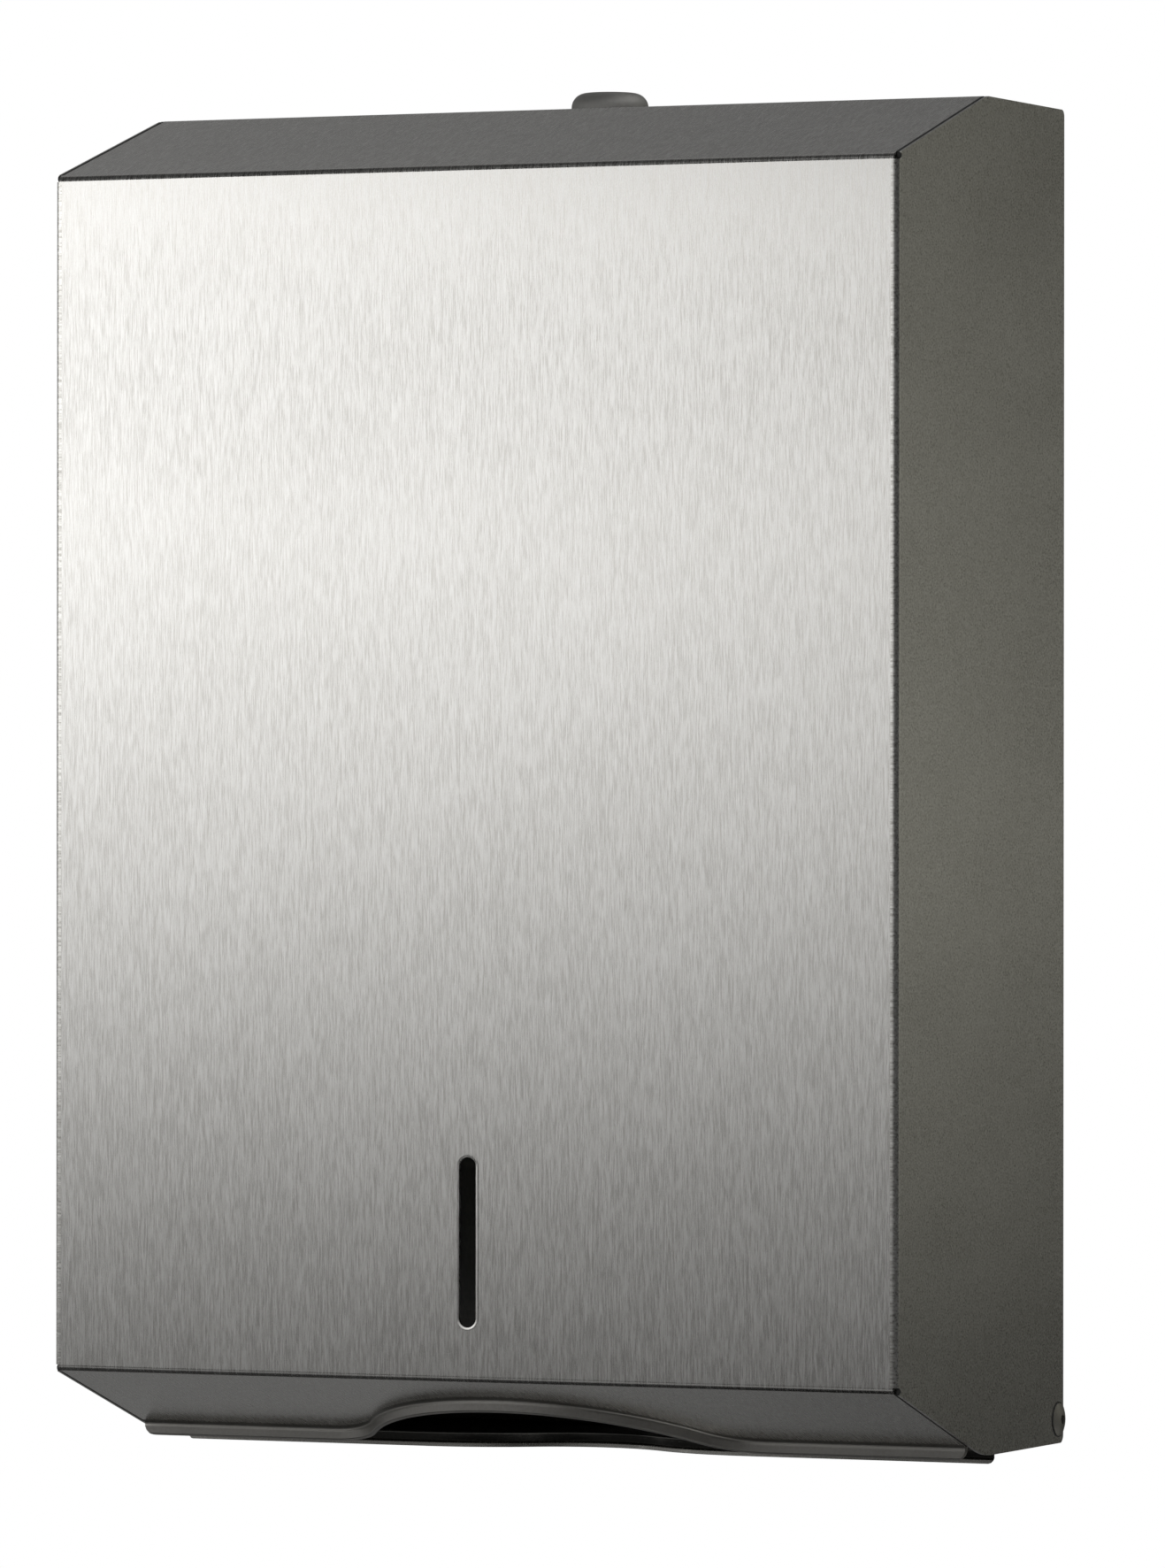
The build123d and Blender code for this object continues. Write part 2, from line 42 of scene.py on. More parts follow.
# Sizes of the dispenser that the new pieces follow, in millimetres
SHEET = 1.0
STRIP_HALF = 131.1
SIDE_X = 132.5
SEAM_X = 131.32
FRONT_Y = -134.2
FRONT_MIDDLE_Z = 0.6
FRONT_TOP_Z = 174.35
FRONT_BOTTOM_Z = -173.15
BEND_Y = -132.0
BEND_CLEAR = 2.3
TOP_Z = 195.05
TOP_BEVEL_DEPTH = 68.5
BEVEL_FALL = 21.9 / 66.6
SLOT_RADIUS = 2.65
SLOT_LOW_Z = -155.2
SLOT_HIGH_Z = -111.8
LIP_HALF = STRIP_HALF - 0.3
LIP_Y = -77.7
LIP_CREST_Y = -115.3
LIP_CREST_RADIUS = 62.0
LIP_SHOULDER_RADIUS = 21.0
LIP_HEIGHT = 3.7
LIP_CORNER = 3.4
TRAY_HALF = 129.3
TRAY_EAR_X = 128.3
TRAY_FLOOR_Z = -195.05
TRAY_FRONT_Y = -52.7
TRAY_CREST_Y = -36.7
TRAY_CREST_RADIUS = 36.0
TRAY_SHOULDER_RADIUS = 52.0
HEM_DROP = 3.3
HEM_CORNER = 2.0
PIVOT_Y = -8.4
PIVOT_Z = -188.05
RIVET_RADIUS = 4.8
LOCK_Y = -33.41
BARREL_RADIUS = 9.0
BARREL_FLAT = 8.0
BARREL_END_Z = 177.05
STUD_RADIUS = 2.0
STUD_PLACES = ((17.5, 158.25), (17.5, 145.25))
STUD_END_Y = -8.0

# Sizes and places of the small work on it, in millimetres
RING_WIRE = 0.24
RING_MIDDLE = RIVET_RADIUS + 0.16
RING_PROUD = 0.08
STITCH_LENGTH = 13.2
STITCH_RIPPLES = 16
STITCH_SUNK = SHEET + 0.4
STITCH_END_X = STRIP_HALF - 0.1
STITCH_FRONT_X = STRIP_HALF - 0.8
TOP_STITCHES_Y = (-52.0, -18.0)
TOP_BEVEL_STITCHES = (0.25, 0.75)
LOW_BEVEL_STITCHES_Y = (-120.0, -94.0)
FRONT_STITCHES_Z = (-110.0, 0.0, 110.0)
SPOT_RADIUS = 2.6
SPOT_Z = TRAY_FLOOR_Z + 8.5
REAR_SPOTS_X = (-104, -52, 0, 52, 104)
EAR_SPOT_Y = -20.5
THREAD_ROOT = 0.15
THREAD_HALF_WIDTH = 0.42
BARREL_THREAD_Z = BARREL_END_Z + 0.7
BARREL_CUT = BARREL_FLAT + 0.02
STUD_THREAD_Y = STUD_END_Y + 0.3

# Straight steps along a scoop's crest and shoulders, and round a thread
CREST_STEPS = 12
SHOULDER_STEPS = 8
THREAD_STEPS = 28

# Noise levels at which a finish reaches its dark and its light end
GRAIN_LOW, GRAIN_HIGH = 0.36, 0.64

# Camera at the photograph's viewing angle
CAMERA_YAW = math.radians(23.8922)
CAMERA_PITCH = math.radians(0.0151)
CAMERA_ROLL = math.radians(0.049)
CAMERA_PLACE = Vector((1121.29, -2450.21 + FRONT_Y, -3.73 + FRONT_MIDDLE_Z)) * MM
CAMERA_LENS = 216.39

# Studio: light levels, and the floor's height, size and fade in metres
CARD_STRENGTH = 6.0
ROOM_LIGHT = 0.6
FLOOR_Z = -1.2
FLOOR_RADIUS = 6.0
FLOOR_FADE = (0.8, 4.5)


def linear(text):
    """Linear colour of an sRGB hex value."""
    channels = [int(text[i : i + 2], 16) / 255 for i in (1, 3, 5)]
    return tuple(c / 12.92 if c <= 0.04045 else ((c + 0.055) / 1.055) ** 2.4 for c in channels) + (1.0,)


def add_node(tree, kind, settings=None, **inputs):
    """A node with its settings, and its inputs set to values or linked from other nodes' outputs."""
    node = tree.nodes.new(kind)
    for key, value in (settings or {}).items():
        setattr(node, key, value)
    for key, value in inputs.items():
        socket = node.inputs[int(key[1:])] if key[1:].isdigit() else node.inputs[key.replace("_", " ")]
        if isinstance(value, bpy.types.NodeSocket):
            tree.links.new(value, socket)
        else:
            socket.default_value = value
    return node


def new_material(name):
    """Material with an empty node tree."""
    material = bpy.data.materials.new(name)
    material.use_nodes = True
    material.node_tree.nodes.clear()
    return material, material.node_tree


def stretched_noise(tree, size_mm, detail=2.0, roughness=0.5):
    """Noise whose features have these sizes along x, y and z."""
    place = add_node(tree, "ShaderNodeTexCoord")
    scale = tuple(1 / (size * MM) for size in size_mm)
    stretch = add_node(tree, "ShaderNodeMapping", Vector=place.outputs["Object"], Scale=scale)
    return add_node(
        tree,
        "ShaderNodeTexNoise",
        Vector=stretch.outputs["Vector"],
        Scale=1.0,
        Detail=detail,
        Roughness=roughness,
    )


def ramp(tree, factor, stops):
    """Colour ramp with (place, colour) stops."""
    node = add_node(tree, "ShaderNodeValToRGB", Fac=factor)
    elements = node.color_ramp.elements
    while len(elements) < len(stops):
        elements.new(0.5)
    for element, (place, colour) in zip(elements, stops):
        element.position = place
        element.color = colour
    return node


def grained(tree, grain_mm, patch_mm, patch_share):
    """Fine grain, and the same grain with broader patches mixed in."""
    fine = stretched_noise(tree, grain_mm, detail=3.0, roughness=0.6)
    patch = stretched_noise(tree, patch_mm, detail=1.0)
    lowered = add_node(
        tree, "ShaderNodeMath", {"operation": "MULTIPLY"}, _0=fine.outputs["Fac"], _1=1.0 - patch_share
    )
    mixed = add_node(
        tree,
        "ShaderNodeMath",
        {"operation": "MULTIPLY_ADD"},
        _0=patch.outputs["Fac"],
        _1=patch_share,
        _2=lowered.outputs[0],
    )
    return fine.outputs["Fac"], mixed.outputs[0]


def surface(
    name, dark, light, roughness, grain_mm, patch_mm, bump_mm, patch_share=0.35, metallic=1.0, brushed=None
):
    """Finish whose tone and gloss vary with its grain; brushed is (strength, tangent axis, quarter turns)."""
    material, tree = new_material(name)
    fine, mixed = grained(tree, grain_mm, patch_mm, patch_share)
    colour = ramp(tree, mixed, [(GRAIN_LOW, linear(dark)), (GRAIN_HIGH, linear(light))])
    low, high = roughness
    rough = add_node(
        tree,
        "ShaderNodeMapRange",
        Value=mixed,
        From_Min=GRAIN_LOW,
        From_Max=GRAIN_HIGH,
        To_Min=low,
        To_Max=high,
    )
    bump = add_node(tree, "ShaderNodeBump", Height=fine, Strength=0.5, Distance=bump_mm * MM)
    shader = add_node(
        tree,
        "ShaderNodeBsdfPrincipled",
        Base_Color=colour.outputs["Color"],
        Metallic=metallic,
        Roughness=rough.outputs["Result"],
        Normal=bump.outputs["Normal"],
    )
    if brushed:
        strength, axis, quarters = brushed
        tangent = add_node(tree, "ShaderNodeTangent", {"direction_type": "RADIAL", "axis": axis})
        tree.links.new(tangent.outputs["Tangent"], shader.inputs["Tangent"])
        shader.inputs["Anisotropic"].default_value = strength
        shader.inputs["Anisotropic Rotation"].default_value = quarters / 4
    add_node(tree, "ShaderNodeOutputMaterial", Surface=shader.outputs["BSDF"])
    return material


# Stainless sheet brushed upright with a belt: fine short scratches, softly smeared sideways reflections.
# Real scratches are too fine to show, so they are drawn 0.3 mm wide
brushed_wrap = surface(
    "brushed_stainless", "#b9b7b3", "#dcdbd8", roughness=(0.22, 0.34),
    grain_mm=(0.3, 6.0, 6.0), patch_mm=(60.0, 40.0, 40.0), bump_mm=0.002,
    patch_share=0.07, brushed=(0.7, "X", 1),
)
# The same sheet on the side panels, ground finer: an even satin speckle, reflections still smeared sideways.
# The speckle is drawn 0.4 mm wide, so that it shows
brushed_side = surface(
    "satin_stainless_side", "#aaa8a3", "#e4e3df", roughness=(0.27, 0.33),
    grain_mm=(8.0, 0.4, 0.45), patch_mm=(25.0, 60.0, 25.0), bump_mm=0.002,
    patch_share=0.07, brushed=(0.7, "Z", 0),
)
# Stainless planished by the forming rolls along the lip: smooth, no scratches; its soft grey is set darker
# than the sheet's, painted shade for the dim face of the lip
lip_with_painted_shade = surface(
    "planished_stainless_painted_shade", "#8e8c88", "#999793", roughness=(0.38, 0.44),
    grain_mm=(0.9, 0.9, 0.9), patch_mm=(12.0, 12.0, 12.0), bump_mm=0.002,
)
# Cold-rolled sheet of the tray, left unpolished: smooth, with a dim mirror; its darker grey is painted shade,
# for the shadow inside the mouth under the lip
tray_painted_shade = surface(
    "smooth_rolled_stainless_painted_shade", "#5b5a57", "#696864", roughness=(0.19, 0.25),
    grain_mm=(0.7, 0.7, 0.7), patch_mm=(20.0, 20.0, 20.0), bump_mm=0.002,
)
# Sheared edge of the tray sheet, burnished by the cut: a thin bright line
sheared_edge = surface(
    "sheared_stainless_edge", "#a9a7a2", "#bbb9b4", roughness=(0.22, 0.3),
    grain_mm=(0.5, 0.5, 0.5), patch_mm=(6.0, 6.0, 6.0), bump_mm=0.002,
)
# Cold-rolled stainless as it leaves the mill: dull grey, faint clouding, no scratches
mill_plate = surface(
    "mill_finish_stainless", "#a4a4a2", "#b6b6b3", roughness=(0.34, 0.42),
    grain_mm=(0.6, 0.6, 1.8), patch_mm=(35.0, 35.0, 70.0), bump_mm=0.003,
)
# Chrome plate over a die-cast zinc rosette, left satin: soft grey sheen, with a slight orange-peel skin
satin_rosette = surface(
    "satin_chrome_casting", "#a6a5a2", "#b5b4b1", roughness=(0.58, 0.66),
    grain_mm=(0.9, 0.9, 0.9), patch_mm=(6.0, 6.0, 6.0), bump_mm=0.006,
)
# Chrome plate on the turned plug: brighter than the rosette, with fine tool marks
plug_chrome = surface(
    "turned_chrome_plate", "#a9a9aa", "#bfbfc0", roughness=(0.18, 0.26),
    grain_mm=(0.4, 0.4, 3.0), patch_mm=(5.0, 5.0, 5.0), bump_mm=0.003,
)
# Stamped brass strip: warm yellow, drawn lines along it
stamped_brass = surface(
    "stamped_brass", "#b08f4c", "#c7a761", roughness=(0.24, 0.34),
    grain_mm=(2.5, 0.3, 0.3), patch_mm=(4.0, 4.0, 4.0), bump_mm=0.003,
)
# Bright zinc plate on steel: bluish silver, clouded by its passivation
bright_zinc = surface(
    "bright_zinc_plate", "#a9aeb4", "#c4c5c2", roughness=(0.24, 0.36),
    grain_mm=(0.5, 0.5, 0.5), patch_mm=(7.0, 7.0, 7.0), bump_mm=0.003, patch_share=0.7,
)
# Stainless rivet, headed cold: smooth grey dome, slightly duller than the sheet
rivet_stainless = surface(
    "cold_headed_stainless", "#94928c", "#a19f99", roughness=(0.46, 0.54),
    grain_mm=(0.4, 0.4, 0.4), patch_mm=(3.0, 3.0, 3.0), bump_mm=0.003,
)
# Snapped rivet pin: dark torn steel
snapped_steel = surface(
    "snapped_mandrel_steel", "#3c3b39", "#5a5956", roughness=(0.45, 0.6),
    grain_mm=(0.25, 0.25, 0.25), patch_mm=(1.2, 1.2, 1.2), bump_mm=0.02,
)
# Stainless weld metal, brushed after welding: pale, rippled, straw and blue where the heat went
weld_metal = surface(
    "heat_tinted_weld", "#8f8779", "#a9adb6", roughness=(0.3, 0.42),
    grain_mm=(0.5, 0.5, 0.5), patch_mm=(5.0, 5.0, 5.0), bump_mm=0.008, patch_share=0.7,
)
# Natural nylon washer: milky white, slightly glossy moulded skin
natural_nylon = surface(
    "natural_nylon", "#d6d3c7", "#e3e1d8", roughness=(0.38, 0.5),
    grain_mm=(0.5, 0.5, 0.5), patch_mm=(4.0, 4.0, 4.0), bump_mm=0.01, patch_share=0.5, metallic=0.0,
)
# Black rubber of the bumpers: matt, with dusty fine grain; the same black on the rivets' rings is painted
# shade, the dark outline of the gap round each head
black_rubber_and_painted_shade = surface(
    "matt_black_rubber_and_painted_shade", "#121212", "#232322", roughness=(0.68, 0.82),
    grain_mm=(0.4, 0.4, 0.4), patch_mm=(3.0, 3.0, 3.0), bump_mm=0.03, patch_share=0.5, metallic=0.0,
)
# Painted shade: dull, slightly uneven black-grey strips laid along the seams, standing in for the shadow in
# the open joints
seam_painted_shade = surface(
    "dark_seam_painted_shade", "#0c0c0b", "#161615", roughness=(0.6, 0.75),
    grain_mm=(0.4, 0.4, 0.4), patch_mm=(3.0, 3.0, 3.0), bump_mm=0.01, patch_share=0.5, metallic=0.0,
)

SLOT_MATERIALS = {
    "cover_sheet": brushed_wrap,
    "plate_sheet": mill_plate,
    "tray_sheet": tray_painted_shade,
    "lock_chrome": satin_rosette,
    "plug_chrome": plug_chrome,
    "wafer_brass": stamped_brass,
    "zinc_steel": bright_zinc,
    "rivet_steel": rivet_stainless,
    "mandrel_steel": snapped_steel,
    "spacer_nylon": natural_nylon,
    "bumper_rubber": black_rubber_and_painted_shade,
}
NODE_MATERIALS = {
    "cover_side_right": brushed_side,
    "cover_side_left": brushed_side,
    # The lip takes a darker grey than the sheet it is cut from: painted shade
    "cover_lip": lip_with_painted_shade,
}
for part in frame["record"]["subparts"]:
    node_object = frame["nodes"][part["node"]]
    material = NODE_MATERIALS.get(part["node"], SLOT_MATERIALS[part["material_slot"]])
    node_object.data.materials.clear()
    node_object.data.materials.append(material)


def start_profile(name, points):
    """Closed face through the points, in edit mode with all of it selected."""
    bpy.ops.object.select_all(action="DESELECT")
    bpy.ops.mesh.primitive_circle_add(vertices=len(points), radius=MM, fill_type="NGON")
    piece = bpy.context.object
    piece.name = name
    for vertex, point in zip(piece.data.vertices, points):
        vertex.co = Vector(point) * MM
    bpy.ops.object.mode_set(mode="EDIT")
    bpy.ops.mesh.select_all(action="SELECT")
    return piece


def keep_outline():
    """Leave only a profile's edges, all selected, so that what is drawn from them is hollow."""
    bpy.ops.mesh.delete(type="ONLY_FACE")
    bpy.ops.mesh.select_all(action="SELECT")


def pull(step):
    """Extrude what is selected along the step."""
    bpy.ops.mesh.extrude_region_move(TRANSFORM_OT_translate={"value": Vector(step) * MM})


def pull_and_size(step, size, centre_y=0.0):
    """Extrude the selected ring along y and resize it about the y axis."""
    pull((0, step, 0))
    bpy.ops.transform.resize(value=(size, 1, size), center_override=(0, centre_y * MM, 0))


def cut(point, outward):
    """Cut off what lies outside a plane, in edit mode, and close the cut."""
    bpy.ops.mesh.select_all(action="SELECT")
    bpy.ops.mesh.bisect(plane_co=Vector(point) * MM, plane_no=outward, use_fill=True, clear_outer=True)


def leave_mesh(smooth_angle):
    """Point the faces outwards, leave edit mode and shade the curves smooth."""
    bpy.ops.mesh.select_all(action="SELECT")
    bpy.ops.mesh.remove_doubles(threshold=0.001 * MM)
    bpy.ops.mesh.normals_make_consistent(inside=False)
    bpy.ops.object.mode_set(mode="OBJECT")
    bpy.ops.object.shade_smooth_by_angle(angle=math.radians(smooth_angle))


def finish_piece(piece, material, body):
    """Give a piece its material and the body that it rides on."""
    piece.data.materials.clear()
    piece.data.materials.append(material)
    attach(piece, body)
    bpy.ops.object.select_all(action="DESELECT")


def moved(x, y, z):
    """Move by these millimetres."""
    return Matrix.Translation(Vector((x, y, z)) * MM)


def spread_copies(piece, places):
    """Copies of the piece, each turned and moved in its own mesh, joined into the first."""
    shape = piece.data.copy()
    piece.data.transform(places[0])
    copies = []
    for place in places[1:]:
        copy = piece.copy()
        copy.data = shape.copy()
        copy.data.transform(place)
        bpy.context.scene.collection.objects.link(copy)
        copies.append(copy)
    bpy.ops.object.select_all(action="DESELECT")
    for each in copies + [piece]:
        each.select_set(True)
    bpy.context.view_layer.objects.active = piece
    bpy.ops.object.join()
    bpy.data.meshes.remove(shape)


def ring(count, half_width, half_height, y=0.0, way=1):
    """Points of an ellipse in the x-z plane; way -1 goes round the other way."""
    angles = [way * math.tau * index / count for index in range(count)]
    return [(half_width * math.cos(angle), y, half_height * math.sin(angle)) for angle in angles]


def scooped_line(half_length, end_y, crest_y, crest_radius, shoulder_radius):
    """Points (x, y) from left to right along a level line with a smooth scoop in its middle."""
    side = 1 if end_y > crest_y else -1
    lean = math.acos(1 - abs(end_y - crest_y) / (crest_radius + shoulder_radius))
    reach = (crest_radius + shoulder_radius) * math.sin(lean)
    half = []
    for index in range(1, CREST_STEPS + 1):
        angle = lean * index / CREST_STEPS
        half.append((crest_radius * math.sin(angle), crest_y + side * crest_radius * (1 - math.cos(angle))))
    for index in range(SHOULDER_STEPS - 1, -1, -1):
        angle = lean * index / SHOULDER_STEPS
        shoulder_y = end_y - side * shoulder_radius * (1 - math.cos(angle))
        half.append((reach - shoulder_radius * math.sin(angle), shoulder_y))
    half.append((half_length, end_y))
    return [(-x, y) for x, y in reversed(half)] + [(0.0, crest_y)] + half


def sweep(name, profile, places):
    """Profile of (y, z) points pulled from place to place, left in edit mode."""
    piece = start_profile(name, [places[0] + Vector((0, y, z)) for y, z in profile])
    for before, after in zip(places, places[1:]):
        pull(after - before)
    return piece


def round_lower_ends(half_length, low_z, corner):
    """Cut the lower end corners of an edge in edit mode, so that they look rounded."""
    for side in SIDES:
        for angle in (math.pi / 8, math.pi / 4, math.pi * 3 / 8):
            outward = Vector((side * math.cos(angle), 0, -math.sin(angle)))
            middle = Vector((side * (half_length - corner), 0, low_z + corner))
            cut(middle + outward * corner, outward)


def bevel_z(y):
    """Height of the bottom bevel's face."""
    return FRONT_BOTTOM_Z - (y - FRONT_Y) * BEVEL_FALL


def make_lip_bead():
    """Rolled face of the lip: a hollow against the bevel, a soft crest, then flat to a rounded lower edge."""
    line = scooped_line(LIP_HALF, LIP_Y, LIP_CREST_Y, LIP_CREST_RADIUS, LIP_SHOULDER_RADIUS)
    places = [Vector((x, y, bevel_z(y))) for x, y in line]
    hollow = [(-1.9, 0.62), (-1.2, 0.32), (-0.7, -0.02), (-0.42, -0.4), (-0.4, -0.72)]
    crest = [(-0.5, -1.0), (-0.56, -1.25), (-0.56, -1.4)]
    edge = [(-0.56, -3.25), (-0.56, -3.35), (-0.46, -3.5), (-0.2, -3.6), (0.05, -3.62)]
    inside = [(0.4, -3.4), (0.4, 0.4), (-1.6, 0.8)]
    bead = sweep("lip_bead", hollow + crest + edge + inside, places)
    round_lower_ends(LIP_HALF, bevel_z(LIP_Y + SHEET) - LIP_HEIGHT, LIP_CORNER)
    leave_mesh(50)
    # The bead takes the lip's darker grey: painted shade
    finish_piece(bead, lip_with_painted_shade, "cover")


def make_tray_edge(name, profile, smooth_angle, material):
    """Profile swept along the tray's scooped front edge, with its lower ends rounded."""
    line = scooped_line(TRAY_HALF, TRAY_FRONT_Y, TRAY_CREST_Y, TRAY_CREST_RADIUS, TRAY_SHOULDER_RADIUS)
    piece = sweep(name, profile, [Vector((x, y, TRAY_FLOOR_Z)) for x, y in line])
    round_lower_ends(TRAY_HALF, TRAY_FLOOR_Z - HEM_DROP, HEM_CORNER)
    leave_mesh(smooth_angle)
    finish_piece(piece, material, "back")


def make_tray_hem():
    """Front edge of the tray, turned down and slightly under, and the bright sheared edge below it."""
    fold = [(0.6, 1.06), (-0.2, 1.05), (-0.36, 0.96), (-0.4, 0.8), (-0.32, 0.55)]
    face = [(0.45, -0.75), (1.1, -2.1)]
    rear = [(1.25, -2.3), (1.5, -2.2), (1.5, 0.3)]
    # The turned-down face takes the tray's darker grey: painted shade
    make_tray_edge("tray_hem", fold + face + rear, 40, tray_painted_shade)
    face = [(0.8, -1.98), (0.5, -2.08), (0.32, -2.22), (0.29, -3.16), (0.42, -HEM_DROP)]
    rear = [(1.2, -HEM_DROP), (1.4, -3.1), (1.4, -1.98)]
    make_tray_edge("tray_edge_bead", face + rear, 30, sheared_edge)


def make_slot_rim():
    """Edge of the sight slot, raised a little by the punch: a shallow inner face, a short step outside."""
    low, high = (Vector((0, 0, z)) * MM for z in (SLOT_LOW_Z, SLOT_HIGH_Z))
    inner = [(0.02, 0.3), (0.02, 0.0), (0.34, -0.125), (0.62, -0.185)]
    outer = [(0.74, -0.175), (0.8, -0.1), (0.8, 0.3)]
    points = [(SLOT_RADIUS + out, FRONT_Y + deep, SLOT_LOW_Z) for out, deep in inner + outer]
    rim = start_profile("slot_rim", points)
    keep_outline()
    for centre, run in ((high, SLOT_HIGH_Z - SLOT_LOW_Z), (low, SLOT_LOW_Z - SLOT_HIGH_Z)):
        pull((0, 0, run))
        bpy.ops.mesh.spin(steps=24, angle=math.pi, center=centre, axis=(0, 1, 0))
    leave_mesh(40)
    finish_piece(rim, brushed_wrap, "cover")


def make_seam_painted_shade():
    """Fine dark lines along the bevels' ends: painted shade of the open seams."""
    section = [(-0.4, -0.25), (-0.33, 0.03), (-0.12, 0.08), (0.12, 0.08), (0.33, 0.03), (0.4, -0.25)]
    line = start_profile("seam_painted_shade", [(x, 0, z) for x, z in section])
    pull((0, 1, 0))
    leave_mesh(50)
    rise = (TOP_Z - FRONT_TOP_Z) / TOP_BEVEL_DEPTH
    ends = (
        (FRONT_TOP_Z, rise, TOP_BEVEL_DEPTH - 0.8, 0.0, 1.5),
        (FRONT_BOTTOM_Z, -BEVEL_FALL, LIP_Y - FRONT_Y - 0.6, math.pi, 1.0),
    )
    places = []
    for side in SIDES:
        for level, slope, reach, flip, wide in ends:
            start = moved(side * SEAM_X, FRONT_Y + BEND_CLEAR, level + BEND_CLEAR * slope)
            turn = Matrix.Rotation(math.atan(slope), 4, "X") @ Matrix.Rotation(flip, 4, "Y")
            length = math.hypot(reach - BEND_CLEAR, (reach - BEND_CLEAR) * slope)
            places.append(start @ turn @ Matrix.Diagonal((wide, length, 1.0, 1.0)))
    spread_copies(line, places)
    finish_piece(line, seam_painted_shade, "cover")


def make_corner_shade_dabs():
    """A dark dab in each corner where three folds meet: painted shade of the open corner relief."""
    dab = start_profile("corner_shade_dabs", ring(16, half_width=0.8, half_height=1.12, y=0.3, way=-1))
    for step, size in ((-0.55, 0.95), (-0.2, 0.75), (-0.06, 0.4)):
        pull_and_size(step, size)
    leave_mesh(50)
    places = []
    for side in SIDES:
        for z in (FRONT_TOP_Z - 0.38, FRONT_BOTTOM_Z + 0.34):
            places.append(moved(side * (SIDE_X - 0.66), BEND_Y, z))
    spread_copies(dab, places)
    finish_piece(dab, seam_painted_shade, "cover")


def make_rivet_shade_rings():
    """Thin black ring round each rivet head: painted shade of the gap under the head."""
    wire = ring(10, RING_WIRE, RING_WIRE)
    points = [(x, PIVOT_Y + RING_MIDDLE + out, PIVOT_Z) for x, _, out in wire]
    rings = start_profile("rivet_shade_rings", points)
    keep_outline()
    middle = Vector((0, PIVOT_Y, PIVOT_Z)) * MM
    bpy.ops.mesh.spin(steps=48, angle=math.tau, center=middle, axis=(1, 0, 0))
    leave_mesh(60)
    spread_copies(rings, [moved(side * (SIDE_X + RING_PROUD), 0, 0) for side in SIDES])
    finish_piece(rings, black_rubber_and_painted_shade, "back")


def make_weld_stitches():
    """Short rippled welds inside the cover, where the folded strip meets the side panels."""
    start_y = -STITCH_LENGTH / 2
    step = STITCH_LENGTH / STITCH_RIPPLES
    size = 0.7
    stitch = start_profile("weld_stitches", ring(12, size, size, start_y))
    ripples = [1.25 if index % 2 else 1.02 for index in range(1, STITCH_RIPPLES)] + [0.6]
    for index, wanted in enumerate(ripples, 1):
        pull_and_size(step, wanted / size, start_y + step * index)
        size = wanted
    leave_mesh(60)

    bevel_rise = TOP_Z - FRONT_TOP_Z
    top_slope = math.atan2(bevel_rise, TOP_BEVEL_DEPTH)
    low_slope = -math.atan(BEVEL_FALL)
    seams = [(STITCH_END_X, y, TOP_Z - STITCH_SUNK, 0.0) for y in TOP_STITCHES_Y]
    for share in TOP_BEVEL_STITCHES:
        y = FRONT_Y + TOP_BEVEL_DEPTH * share
        seams.append((STITCH_END_X, y, FRONT_TOP_Z + bevel_rise * share - STITCH_SUNK, top_slope))
    seams += [(STITCH_END_X, y, bevel_z(y) + STITCH_SUNK, low_slope) for y in LOW_BEVEL_STITCHES_Y]
    seams += [(STITCH_FRONT_X, FRONT_Y + STITCH_SUNK, z, math.pi / 2) for z in FRONT_STITCHES_Z]
    places = []
    for side in SIDES:
        places += [moved(side * x, y, z) @ Matrix.Rotation(slope, 4, "X") for x, y, z, slope in seams]
    spread_copies(stitch, places)
    finish_piece(stitch, weld_metal, "cover")


def make_spot_welds():
    """Shallow round marks where the tray is spot welded to the back plate and its flanges."""
    mark = start_profile("tray_spot_welds", ring(24, SPOT_RADIUS, SPOT_RADIUS, y=0.05, way=-1))
    for step, size in ((-0.14, 0.9), (-0.08, 0.82), (0.12, 0.72), (0.03, 0.5)):
        pull_and_size(step, size)
    leave_mesh(50)
    places = [moved(x, -2 * SHEET, SPOT_Z) for x in REAR_SPOTS_X]
    for side in SIDES:
        turn = Matrix.Rotation(-side * math.pi / 2, 4, "Z")
        places.append(moved(side * TRAY_EAR_X, EAR_SPOT_Y, SPOT_Z) @ turn)
    spread_copies(mark, places)
    finish_piece(mark, weld_metal, "back")


def make_thread(name, radius, height, pitch, turns, axis):
    """Thread ridge wound round an axis through the origin, starting there."""
    half = pitch * THREAD_HALF_WIDTH
    along = "XYZ".index(axis)
    points = []
    for out, up in ((radius - THREAD_ROOT, -half), (radius + height, 0.0), (radius - THREAD_ROOT, half)):
        point = [out, 0.0, 0.0]
        point[along] = up
        points.append(point)
    thread = start_profile(name, points)
    keep_outline()
    bpy.ops.object.mode_set(mode="OBJECT")
    winding = thread.modifiers.new("winding", "SCREW")
    winding.axis = axis
    winding.screw_offset = pitch * MM
    winding.iterations = turns
    winding.steps = winding.render_steps = THREAD_STEPS
    winding.use_smooth_shade = False
    bpy.ops.object.modifier_apply(modifier="winding")
    bpy.ops.object.mode_set(mode="EDIT")
    bpy.ops.mesh.select_all(action="DESELECT")
    bpy.ops.mesh.select_non_manifold()
    bpy.ops.mesh.edge_face_add()
    return thread


